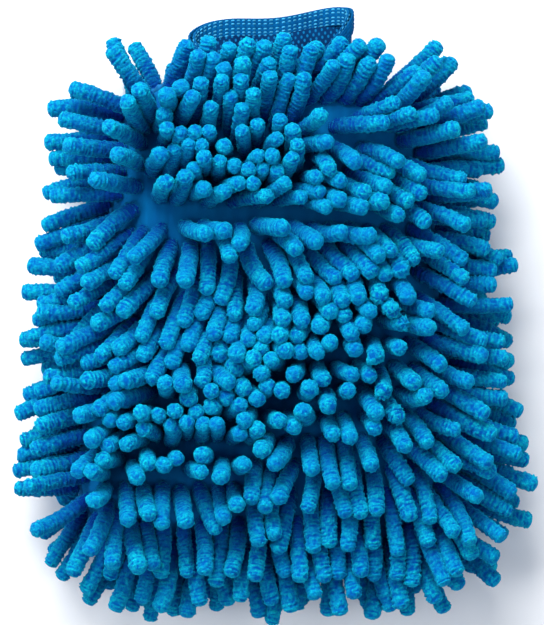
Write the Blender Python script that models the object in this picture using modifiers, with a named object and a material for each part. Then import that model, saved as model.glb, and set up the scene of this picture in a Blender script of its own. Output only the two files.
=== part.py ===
"""A double-sided chenille wash mitt: two tufted panels, a lining and an elastic knit cuff.

The mitt lies on its back panel. +X is to the right, +Y runs from the closed end to the cuff and
+Z is up, through the thickness. The origin is the bottom centre of the whole mitt's box.
"""

import math

import bmesh
import bpy
from mathutils import Vector

# Bag outline, in metres. Heights are above the surface that the mitt lies on.
BAG_END = -0.0985
NECK_Y = 0.1000
FRONT_NECK_END = 0.0935
BACK_NECK_END = 0.1180
SHOULDER_Y = 0.072
END_HALF_WIDTH = 0.0835
SHOULDER_HALF_WIDTH = 0.063
NECK_HALF_WIDTH = 0.034
CORNER_RADIUS = 0.032
SHOULDER_POWER = 2.2
SEAM_Z = 0.024
RIM_GAP = 0.0015
FRONT_DEPTH = 0.0165
BACK_DEPTH = 0.0075
NECK_FRONT_DEPTH = 0.0095
NECK_BACK_DEPTH = 0.0075
END_RISE = 0.030
ARCH_POWER = 4
SLOPE_STEP = 0.003
MOST_SLANT = 3.0

# Fabrics
BASE_THICKNESS = 0.0012
LINING_INSET = 0.0027
LINING_THICKNESS = 0.0008
PANEL_ACROSS = 14
PANEL_ALONG = 14
SEAM_RADIUS = 0.0009
SEAM_STANDS_OUT = 0.0005
SEAM_STOPS_SHORT = 0.001
SEAM_POINTS = 72

# Chenille noodles
STRIP_THICKNESS = 0.001
STRIP_DEPTH = 0.0085
STRIP_GAP = 0.0017
NOODLE_MARGIN = 0.001
FRONT_LENGTH = 0.0255
BACK_LENGTH = 0.0132
FRONT_PITCH = 0.0095
FRONT_ROW_PITCH = 0.0100
BACK_PITCH = 0.0110
BACK_ROW_PITCH = 0.0115
EDGE_PITCH = 0.0102
ROW_SIDE_MARGIN = 0.0150
ROW_END_MARGIN = 0.0150
ROW_NECK_MARGIN = 0.0060
FAN_ACROSS = 0.72
FAN_ALONG = 0.42
EDGE_SHOULDER_SKIP = 0.012
EDGE_CORNER_SKIP = 0.006
END_STRIP_PAST_FLAT = 0.012
EDGE_TIERS = {
    "front_edge": {"inset": 0.0012, "rise": 0.0082, "tilt": math.radians(35), "length": 0.027},
    "seam": {"inset": -0.0030, "rise": 0.0004, "tilt": 0.0, "length": 0.027},
    "back_edge": {"inset": 0.0014, "rise": -0.0078, "tilt": math.radians(-32), "length": 0.021},
}

# Cuff
CUFF_GAP = 0.0045
CUFF_HEIGHT = 0.0070
CUFF_CENTRE_Z = 0.0250
CUFF_HALF_WIDTH = 0.0345
CUFF_HALF_HEIGHT = 0.0108
PLY_THICKNESS = 0.0010
PLY_SPACING = 0.0026
ELASTIC_RADIUS = 0.0003
ELASTIC_ROWS = 5
ELASTIC_FIRST = 0.13
ELASTIC_STEP = 0.185
CUFF_SEAM_RADIUS = 0.0006
CLOSING_SEAM_RADIUS = 0.0005
CLOSING_SEAM_ANGLE = math.radians(214)
CLOSING_SEAM_FIRST = 0.06
CLOSING_SEAM_STEP = 0.22
CLOSING_SEAM_KNOTS = 5
CUFF_SIDES = 32
CUFF_STEPS = 3

OUTLINE_SAMPLES = 400
BLUE = (0.012, 0.27, 0.60, 1.0)
BASE_BLUE = (0.010, 0.20, 0.45, 1.0)
NAVY = (0.006, 0.08, 0.22, 1.0)
PALE_THREAD = (0.35, 0.58, 0.74, 1.0)
ELASTIC_WHITE = (0.70, 0.70, 0.68, 1.0)


def clear_scene():
    for thing in list(bpy.data.objects):
        bpy.data.objects.remove(thing)


def make_material(name, colour, roughness):
    material = bpy.data.materials.new(name)
    material.use_nodes = True
    shader = material.node_tree.nodes["Principled BSDF"]
    shader.inputs["Base Color"].default_value = colour
    shader.inputs["Roughness"].default_value = roughness
    shader.inputs["Metallic"].default_value = 0.0
    return material


def add_object(name, data, material, assembly):
    thing = bpy.data.objects.new(name, data)
    data.materials.append(material)
    assembly["collection"].objects.link(thing)
    thing.parent = assembly["root"]
    return thing


def mesh_from(bm, name):
    bmesh.ops.recalc_face_normals(bm, faces=bm.faces)
    mesh = bpy.data.meshes.new(name)
    bm.to_mesh(mesh)
    bm.free()
    return mesh


def ease(start, stop, share):
    """From start to stop along half a cosine wave."""
    share = min(max(share, 0.0), 1.0)
    return start + (stop - start) * (0.5 - 0.5 * math.cos(math.pi * share))


def half_width(y):
    """Half the bag's width at y: a taper with round corners at the closed end and round shoulders."""
    if y > SHOULDER_Y:
        share = min((y - SHOULDER_Y) / (NECK_Y - SHOULDER_Y), 1.0)
        return NECK_HALF_WIDTH + (SHOULDER_HALF_WIDTH - NECK_HALF_WIDTH) * (1.0 - share**SHOULDER_POWER)
    share = (y - BAG_END) / (SHOULDER_Y - BAG_END)
    width = END_HALF_WIDTH + (SHOULDER_HALF_WIDTH - END_HALF_WIDTH) * share
    short = max(BAG_END + CORNER_RADIUS - y, 0.0)
    return width - CORNER_RADIUS + math.sqrt(max(CORNER_RADIUS**2 - short**2, 0.0))


def plan_slant(y):
    """How much longer a step across the bag is than one square to its outline, at y."""
    below = half_width(max(y - SLOPE_STEP, BAG_END))
    slope = (half_width(y + SLOPE_STEP) - below) / (2 * SLOPE_STEP)
    return min(math.sqrt(1.0 + slope**2), MOST_SLANT)


def mouth_y(rise):
    """Where the bag ends at the mouth: rise is 1 at the front's middle, -1 at the back's, 0 at the seam."""
    return FRONT_NECK_END + (BACK_NECK_END - FRONT_NECK_END) * (1.0 - rise) / 2


def depth(y, full, neck):
    """How far a panel stands off the seam at y: nothing at the closed end, full, then the neck's."""
    short = max(BAG_END + END_RISE - y, 0.0) / END_RISE
    rise = full * math.sqrt(max(1.0 - short**2, 0.0))
    return ease(rise, neck, (y - SHOULDER_Y) / (NECK_Y - SHOULDER_Y))


def arch(share):
    """A flat-topped arch: 1 in the middle and 0 where share is 1 or -1."""
    return math.sqrt(max(1.0 - abs(share) ** ARCH_POWER, 0.0))


def panel_height(side, x, y):
    """Height of a panel's outer face. side is 1 for the front and -1 for the back."""
    full = FRONT_DEPTH if side > 0 else BACK_DEPTH
    neck = NECK_FRONT_DEPTH if side > 0 else NECK_BACK_DEPTH
    return SEAM_Z + side * (RIM_GAP + depth(y, full, neck) * arch(x / half_width(y)))


def panel_point(side, across, along, inset):
    """A point of a panel, inset towards the pocket; across runs from -1 to 1 and along from 0 to 1."""
    share = math.sin(across * math.pi / 2)
    last = mouth_y(side * math.cos(across * math.pi / 2))
    y = BAG_END + (last - BAG_END) * (0.5 - 0.5 * math.cos(math.pi * along))
    x = share * (half_width(y) - inset * plan_slant(y))
    height = abs(panel_height(side, share * half_width(y), y) - SEAM_Z) - RIM_GAP
    z = SEAM_Z + side * (RIM_GAP + max(height - inset * arch(share), 0.0))
    return Vector((x, y + inset * (1.0 - along), z))


def make_panel(name, side, inset, thickness, material, assembly):
    """One curved fabric panel: a grid bent to the bag's form, then given its thickness inwards."""
    bm = bmesh.new()
    bmesh.ops.create_grid(bm, x_segments=PANEL_ACROSS, y_segments=PANEL_ALONG, size=1.0)
    for vert in bm.verts:
        vert.co = panel_point(side, vert.co.x, (vert.co.y + 1.0) / 2, inset)
    if side < 0:
        bmesh.ops.reverse_faces(bm, faces=bm.faces)
    mesh = bpy.data.meshes.new(name)
    bm.to_mesh(mesh)
    bm.free()
    panel = add_object(name, mesh, material, assembly)
    shell = panel.modifiers.new("thickness", "SOLIDIFY")
    shell.thickness = thickness
    shell.offset = -1.0
    return panel


def outline():
    """The bag's seam line from the mouth's left, round the closed end, to the mouth's right."""
    span = mouth_y(0.0) - BAG_END
    left = []
    for i in range(OUTLINE_SAMPLES + 1):
        y = BAG_END + span * (0.5 + 0.5 * math.cos(math.pi * i / OUTLINE_SAMPLES))
        left.append(Vector((-half_width(y), y, SEAM_Z)))
    right = [Vector((-p.x, p.y, p.z)) for p in reversed(left)]
    return left + right


def walk(points, start, stop, count):
    """count points spaced evenly along a line between two distances, each with its direction."""
    found = []
    travelled = 0.0
    wanted = [start + (stop - start) * i / (count - 1) for i in range(count)]
    for a, b in zip(points, points[1:]):
        step = (b - a).length
        while wanted and step > 0 and travelled + step >= wanted[0]:
            share = (wanted.pop(0) - travelled) / step
            found.append((a.lerp(b, share), (b - a).normalized()))
        travelled += step
    return found


def line_length(points):
    return sum((b - a).length for a, b in zip(points, points[1:]))


def ladder_points(roots, directions, tangents):
    """The strip's two long edges: a pair of points between each two noodles and one at each end."""
    rungs = []
    count = len(roots)
    for i in range(count + 1):
        a = max(i - 1, 0)
        b = min(i, count - 1)
        middle = (roots[a] + roots[b]) / 2
        if i == 0:
            middle = roots[0] - (roots[1] - roots[0]) / 2
        if i == count:
            middle = roots[-1] + (roots[-1] - roots[-2]) / 2
        direction = (directions[a] + directions[b]).normalized()
        side = direction.cross((tangents[a] + tangents[b]).normalized()).normalized()
        rungs.append((middle - side * STRIP_DEPTH / 2, middle + side * STRIP_DEPTH / 2, direction))
    return rungs


def tufted_strip(name, roots, directions, tangents, length, material, assembly):
    """A backing strip with a square noodle standing out of each of its cells, as one solid."""
    rungs = ladder_points(roots, directions, tangents)
    count = len(roots)
    bm = bmesh.new()
    bmesh.ops.create_grid(bm, x_segments=count, y_segments=1, size=1.0)
    rung_of = {}
    for vert in bm.verts:
        index = round((vert.co.x + 1.0) / 2 * count)
        rung_of[vert] = index
        vert.co = rungs[index][0 if vert.co.y < 0 else 1]
    lower = list(bm.verts)
    raised = bmesh.ops.extrude_face_region(bm, geom=bm.faces[:])
    cells = [item for item in raised["geom"] if isinstance(item, bmesh.types.BMFace)]
    upper = [item for item in raised["geom"] if isinstance(item, bmesh.types.BMVert)]
    for vert in upper:
        nearest = min(lower, key=lambda other: (other.co - vert.co).length)
        vert.co += rungs[rung_of[nearest]][2] * STRIP_THICKNESS
    bmesh.ops.inset_individual(bm, faces=cells, thickness=NOODLE_MARGIN)
    posts = bmesh.ops.extrude_discrete_faces(bm, faces=cells)["faces"]
    for face in posts:
        centre = face.calc_center_median()
        index = min(range(count), key=lambda i: (roots[i] - centre).length)
        for vert in face.verts:
            vert.co += directions[index] * length
    return add_object(name, mesh_from(bm, name), material, assembly)


def row_positions(pitch, reach):
    """Places across a row, even about the middle and within reach of it."""
    each_side = int(reach / pitch)
    return [pitch * i for i in range(-each_side, each_side + 1)]


def row_stations(pitch, end):
    """Places of the rows along the bag up to its end at the mouth."""
    first = BAG_END + ROW_END_MARGIN
    last = end - ROW_NECK_MARGIN
    count = int((last - first) / pitch) + 1
    spare = (last - first) - (count - 1) * pitch
    return [first + spare / 2 + pitch * i for i in range(count)]


def fan(x, y):
    """The way a front noodle points: up, and outwards towards the sides and ends."""
    middle = (BAG_END + NECK_Y) / 2
    along = (y - middle) / (NECK_Y - middle)
    return Vector((FAN_ACROSS * x / half_width(y), FAN_ALONG * along, 1.0)).normalized()


def make_front_rows(material, assembly):
    for number, y in enumerate(row_stations(FRONT_ROW_PITCH, FRONT_NECK_END), 1):
        places = row_positions(FRONT_PITCH, half_width(y) - ROW_SIDE_MARGIN)
        roots = [Vector((x, y, panel_height(1, x, y) + STRIP_GAP)) for x in places]
        directions = [fan(x, y) for x in places]
        tangents = [Vector((1, 0, 0))] * len(places)
        name = f"front_noodle_row_{number:02d}"
        tufted_strip(name, roots, directions, tangents, FRONT_LENGTH, material, assembly)


def make_back_rows(material, assembly):
    """The back noodles carry the mitt, so each is pressed to the same flat height."""
    top = BACK_LENGTH + STRIP_THICKNESS
    for number, y in enumerate(row_stations(BACK_ROW_PITCH, BACK_NECK_END), 1):
        places = row_positions(BACK_PITCH, half_width(y) - ROW_SIDE_MARGIN)
        roots = [Vector((x, y, top)) for x in places]
        directions = [Vector((0, 0, -1))] * len(places)
        tangents = [Vector((-1, 0, 0))] * len(places)
        name = f"back_noodle_row_{number:02d}"
        tufted_strip(name, roots, directions, tangents, BACK_LENGTH, material, assembly)


def make_edge_rows(material, assembly):
    """Three tiers of noodles round the seam, each cut at the two corners of the closed end."""
    line = outline()
    total = line_length(line)
    end_half = END_HALF_WIDTH - CORNER_RADIUS + END_STRIP_PAST_FLAT
    left_cut = total / 2 - end_half
    right_cut = total / 2 + end_half
    spans = {
        "left": (EDGE_SHOULDER_SKIP, left_cut - EDGE_CORNER_SKIP),
        "end": (left_cut + EDGE_CORNER_SKIP, right_cut - EDGE_CORNER_SKIP),
        "right": (right_cut + EDGE_CORNER_SKIP, total - EDGE_SHOULDER_SKIP),
    }
    for tier, shape in EDGE_TIERS.items():
        tilt = shape["tilt"]
        for part, (start, stop) in spans.items():
            count = round((stop - start) / EDGE_PITCH) + 1
            roots, directions, tangents = [], [], []
            for point, tangent in walk(line, start, stop, count):
                outward = tangent.cross(Vector((0, 0, 1)))
                roots.append(point - outward * shape["inset"] + Vector((0, 0, shape["rise"])))
                directions.append(outward * math.cos(tilt) + Vector((0, 0, math.sin(tilt))))
                tangents.append(tangent)
            name = f"{part}_{tier}_noodles"
            tufted_strip(name, roots, directions, tangents, shape["length"], material, assembly)


def make_wire(name, points, radius, cyclic, material, assembly):
    """A round cord along a line of points."""
    curve = bpy.data.curves.new(name, "CURVE")
    curve.dimensions = "3D"
    curve.bevel_depth = radius
    curve.bevel_resolution = 0
    curve.use_fill_caps = True
    spline = curve.splines.new("POLY")
    spline.points.add(len(points) - 1)
    for knot, point in zip(spline.points, points):
        knot.co = (*point, 1.0)
    spline.use_cyclic_u = cyclic
    return add_object(name, curve, material, assembly)


def make_perimeter_seam(material, assembly):
    line = outline()
    total = line_length(line)
    up = Vector((0, 0, 1))
    run = walk(line, SEAM_STOPS_SHORT, total - SEAM_STOPS_SHORT, SEAM_POINTS)
    points = [point + tangent.cross(up) * SEAM_STANDS_OUT for point, tangent in run]
    make_wire("perimeter_seam", points, SEAM_RADIUS, False, material, assembly)


def cuff_point(angle, along, inset):
    """A point on the cuff's flattened, slanted tube; along is 0 at the bag and 1 at its open end."""
    x = (CUFF_HALF_WIDTH - inset) * math.cos(angle)
    y = mouth_y(math.sin(angle)) + CUFF_GAP + CUFF_HEIGHT * along
    z = CUFF_CENTRE_Z + (CUFF_HALF_HEIGHT - inset) * math.sin(angle)
    return Vector((x, y, z))


def make_ply(name, inset, material, assembly):
    """One ply of the cuff: an open tube, bent to its slanted mouth and given its thickness."""
    bm = bmesh.new()
    bmesh.ops.create_grid(bm, x_segments=CUFF_SIDES, y_segments=CUFF_STEPS, size=1.0)
    for vert in bm.verts:
        angle = -vert.co.x * math.pi
        vert.co = cuff_point(angle, (vert.co.y + 1.0) / 2, inset)
    bmesh.ops.remove_doubles(bm, verts=bm.verts, dist=0.00001)
    mesh = bpy.data.meshes.new(name)
    bm.to_mesh(mesh)
    bm.free()
    ply = add_object(name, mesh, material, assembly)
    shell = ply.modifiers.new("thickness", "SOLIDIFY")
    shell.thickness = PLY_THICKNESS
    shell.offset = -1.0
    return ply


def cuff_loop(along, inset, count):
    return [cuff_point(2 * math.pi * i / count, along, inset) for i in range(count)]


def make_cuff(materials, assembly):
    make_ply("cuff_outer_ply", 0.0, materials["knit"], assembly)
    make_ply("cuff_inner_ply", PLY_SPACING, materials["knit"], assembly)
    between = (PLY_THICKNESS + PLY_SPACING) / 2
    for row in range(ELASTIC_ROWS):
        loop = cuff_loop(ELASTIC_FIRST + ELASTIC_STEP * row, between, CUFF_SIDES)
        name = f"cuff_elastic_{row + 1}"
        make_wire(name, loop, ELASTIC_RADIUS, True, materials["elastic"], assembly)
    back_off = Vector((0, CUFF_GAP / 2, 0))
    loop = [p - back_off for p in cuff_loop(0.0, PLY_THICKNESS / 2, CUFF_SIDES)]
    make_wire("cuff_seam", loop, CUFF_SEAM_RADIUS, True, materials["thread"], assembly)
    inside = PLY_SPACING + PLY_THICKNESS + 2 * CLOSING_SEAM_RADIUS
    places = [CLOSING_SEAM_FIRST + CLOSING_SEAM_STEP * i for i in range(CLOSING_SEAM_KNOTS)]
    run = [cuff_point(CLOSING_SEAM_ANGLE, along, inside) for along in places]
    make_wire("cuff_closing_seam", run, CLOSING_SEAM_RADIUS, False, materials["thread"], assembly)


def build_mitt():
    clear_scene()
    collection = bpy.data.collections.new("wash_mitt")
    bpy.context.scene.collection.children.link(collection)
    root = bpy.data.objects.new("wash_mitt", None)
    collection.objects.link(root)
    assembly = {"collection": collection, "root": root}
    materials = {
        "chenille": make_material("chenille", BLUE, 0.95),
        "base": make_material("base_knit", BASE_BLUE, 0.9),
        "lining": make_material("lining", NAVY, 0.85),
        "knit": make_material("cuff_knit", BASE_BLUE, 0.85),
        "thread": make_material("thread", PALE_THREAD, 0.7),
        "elastic": make_material("elastic", ELASTIC_WHITE, 0.6),
    }
    for name, side in (("front", 1), ("back", -1)):
        base = f"{name}_base_fabric"
        make_panel(base, side, 0.0, BASE_THICKNESS, materials["base"], assembly)
        lining = f"{name}_lining"
        make_panel(lining, side, LINING_INSET, LINING_THICKNESS, materials["lining"], assembly)
    make_perimeter_seam(materials["thread"], assembly)
    make_front_rows(materials["chenille"], assembly)
    make_back_rows(materials["chenille"], assembly)
    make_edge_rows(materials["chenille"], assembly)
    make_cuff(materials, assembly)


build_mitt()
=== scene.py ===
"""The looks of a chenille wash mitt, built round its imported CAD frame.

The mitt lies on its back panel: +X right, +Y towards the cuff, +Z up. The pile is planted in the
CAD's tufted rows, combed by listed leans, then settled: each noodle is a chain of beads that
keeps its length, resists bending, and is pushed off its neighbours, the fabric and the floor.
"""

import math

import bpy
import numpy as np
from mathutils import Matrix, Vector
from mathutils.kdtree import KDTree


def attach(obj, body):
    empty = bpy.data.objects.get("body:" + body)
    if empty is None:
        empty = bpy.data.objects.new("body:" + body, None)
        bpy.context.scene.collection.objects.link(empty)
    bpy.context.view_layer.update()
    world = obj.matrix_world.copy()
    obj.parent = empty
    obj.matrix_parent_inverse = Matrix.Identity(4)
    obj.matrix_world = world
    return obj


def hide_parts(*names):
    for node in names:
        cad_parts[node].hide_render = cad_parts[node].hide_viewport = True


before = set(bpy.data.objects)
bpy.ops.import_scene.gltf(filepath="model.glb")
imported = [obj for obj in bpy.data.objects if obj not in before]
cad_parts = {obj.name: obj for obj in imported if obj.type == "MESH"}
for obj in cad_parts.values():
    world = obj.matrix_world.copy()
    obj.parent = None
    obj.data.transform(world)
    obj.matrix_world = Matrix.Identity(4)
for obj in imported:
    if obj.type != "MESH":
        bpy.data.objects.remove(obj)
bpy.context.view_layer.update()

MM = 0.001
RNG = np.random.default_rng(20)

# The bag, as the CAD has it
BAG_END = -0.0985
SHOULDER_Y = 0.072
NECK_Y = 0.100
END_HALF_WIDTH = 0.0835
SHOULDER_HALF_WIDTH = 0.063
NECK_HALF_WIDTH = 0.034
CORNER_RADIUS = 0.032
SHOULDER_POWER = 2.2
ARCH_POWER = 4
SEAM_Z = 0.024
RIM_GAP = 0.0015
FRONT_DEPTH = 0.0165
BACK_DEPTH = 0.0075
NECK_FRONT_DEPTH = 0.0095
NECK_BACK_DEPTH = 0.0075
END_RISE = 0.030
FRONT_NECK_END = 0.0935
BACK_NECK_END = 0.1180

ROOT_SINK = 0.0012
FABRIC_THICKNESS = 0.0010
LINING_THICKNESS = 0.0006
LINING_INSET = 0.0026
LINING_STANDS_PAST = 0.0015
PANEL_ACROSS = 110
PANEL_ALONG = 130
PERIMETER_SEAM_RADIUS = 0.0019
PERIMETER_STITCHES = 180

# The cuff, a flattened ring that sits askew on the neck
CUFF_START = 0.0008
CUFF_HEIGHT = 0.0080
CUFF_CENTRE_Z = 0.0250
CUFF_HALF_WIDTH = 0.0345
CUFF_HALF_HEIGHT = 0.0108
CUFF_SKEW = 0.13
CUFF_SHIFT = 0.0015
CUFF_WAVE = 0.0006
MOUTH_POWER = 2.6
MOUTH_WAVES = (0.0009, 0.0004)
PLY_THICKNESS = 0.0009
PLY_SPACING = 0.0020
ELASTIC_PLACES = (0.08, 0.25, 0.44, 0.70, 0.88)
ELASTIC_RADIUS = 0.00036
ELASTIC_DIP = 0.00042
STITCHES_ROUND = 66
STITCH_DRIFT = 0.9
GATHER_HEIGHT = 0.00024
GROOVE_DEPTH = 0.00014
GROOVE_WIDTH = 0.045
CUFF_SEAM_RADIUS = 0.00055
CUFF_SEAM_STITCHES = 90
CLOSING_SEAM_RADIUS = 0.0005
CLOSING_SEAM_STITCHES = 9
CLOSING_SEAM_ANGLE = math.radians(217)
CORD_SIDES = 8

# The pile
ROW_PITCH = 0.010
FIRST_ROW_Y = -0.083
ROW_SLIPS = {0: -0.0032, 11: 0.0016, 12: -0.0022}
BACK_ROW_PITCH = 0.0115
FIRST_BACK_ROW_Y = -0.0835
LAST_ROW_STEP = 0.0055
ROW_SPACING = 0.0079
SIDE_MARGIN = 0.0150
SCATTER = 0.0007
LEAN_SCATTER = 0.05
MOST_LEAN = 0.94
NOODLE_LENGTH = 0.0280
NOODLE_RADIUS = 0.00335
LENGTH_SPREAD = (0.90, 1.07)
RADIUS_SPREAD = (0.92, 1.08)
CROWD_SPACING = 0.0046
CROWD_ZIGZAG = 0.0024
CROWD_THINNER = 0.10
FRAY_X = 0.043
FRAY_REACH = 0.0042
FRAY_FROM = -0.036
FRAY_TO = 0.032
FRAY_SWELL = 2.4

# The noodles that follow the seam. Near the cuff they lean as combed, lower down more outwards.
EDGE_SPACING = 0.0092
EDGE_SCATTER = 0.0009
EDGE_SWAY = 11
EDGE_TWIST = 0.16
EDGE_LENGTH = 0.0305
EDGE_LENGTH_SPREAD = (0.90, 1.10)
RIGHT_SKIP = 0.012
END_PAST_FLAT = 0.012
COMBED_ABOVE_Y = 0.078
SHOULDER_FOLLOW = 0.90
SIDE_FOLLOW = 0.62
BY_CUFF_Y = 0.090
BY_CUFF_LENGTH = 0.76

# The pressed pile underneath, and how far its noodles splay
BACK_SPACING = 0.0112
BACK_LEAST_REACH = 0.012
BACK_LENGTH_SHARE = 0.7
BACK_RADIUS_SHARE = 0.9
BACK_SCATTER = 0.001
BACK_SPLAY_ACROSS = 1.4
BACK_SPLAY_WIDTH = 0.08
BACK_SPLAY_LENGTH = 0.09
BACK_NECK_Y = 0.07
BACK_NECK_SPLAY = -0.4
BACK_DROP = -0.8
BACK_AIM_SCATTER = 0.15

# Settling
BEADS = 8
SETTLE_STEPS = 90
STEPS_PER_SEARCH = 12
SEARCH_REACH = 2.6 * NOODLE_RADIUS
LAST_BEAD_IN = 0.9
HELD_SHARE = 0.05
LAID_SHARE = 0.2
ROOT_STIFFNESS = 0.6
STIFFNESS = 0.30
SAG = 0.00006
BEND = 0.035
CROWD_DAMPING = 0.6
PUSH_SHARE = 0.9
FLOOR_CLEARANCE = 0.9
FABRIC_CLEARANCE = 0.75

# Noodle meshes
RINGS = 74
SIDES = 24
BACK_RINGS = 40
BACK_SIDES = 12
DOME_LENGTH = 1.05
FOOT_LENGTH = 0.006
FOOT_GIRTH = 0.72
RIDGE_HEIGHT = 0.00014
NUB_HEIGHT = 0.00018
SLOW_HEIGHT = 0.00008
PILE_HEIGHT_UNIT = 0.00028

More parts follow.
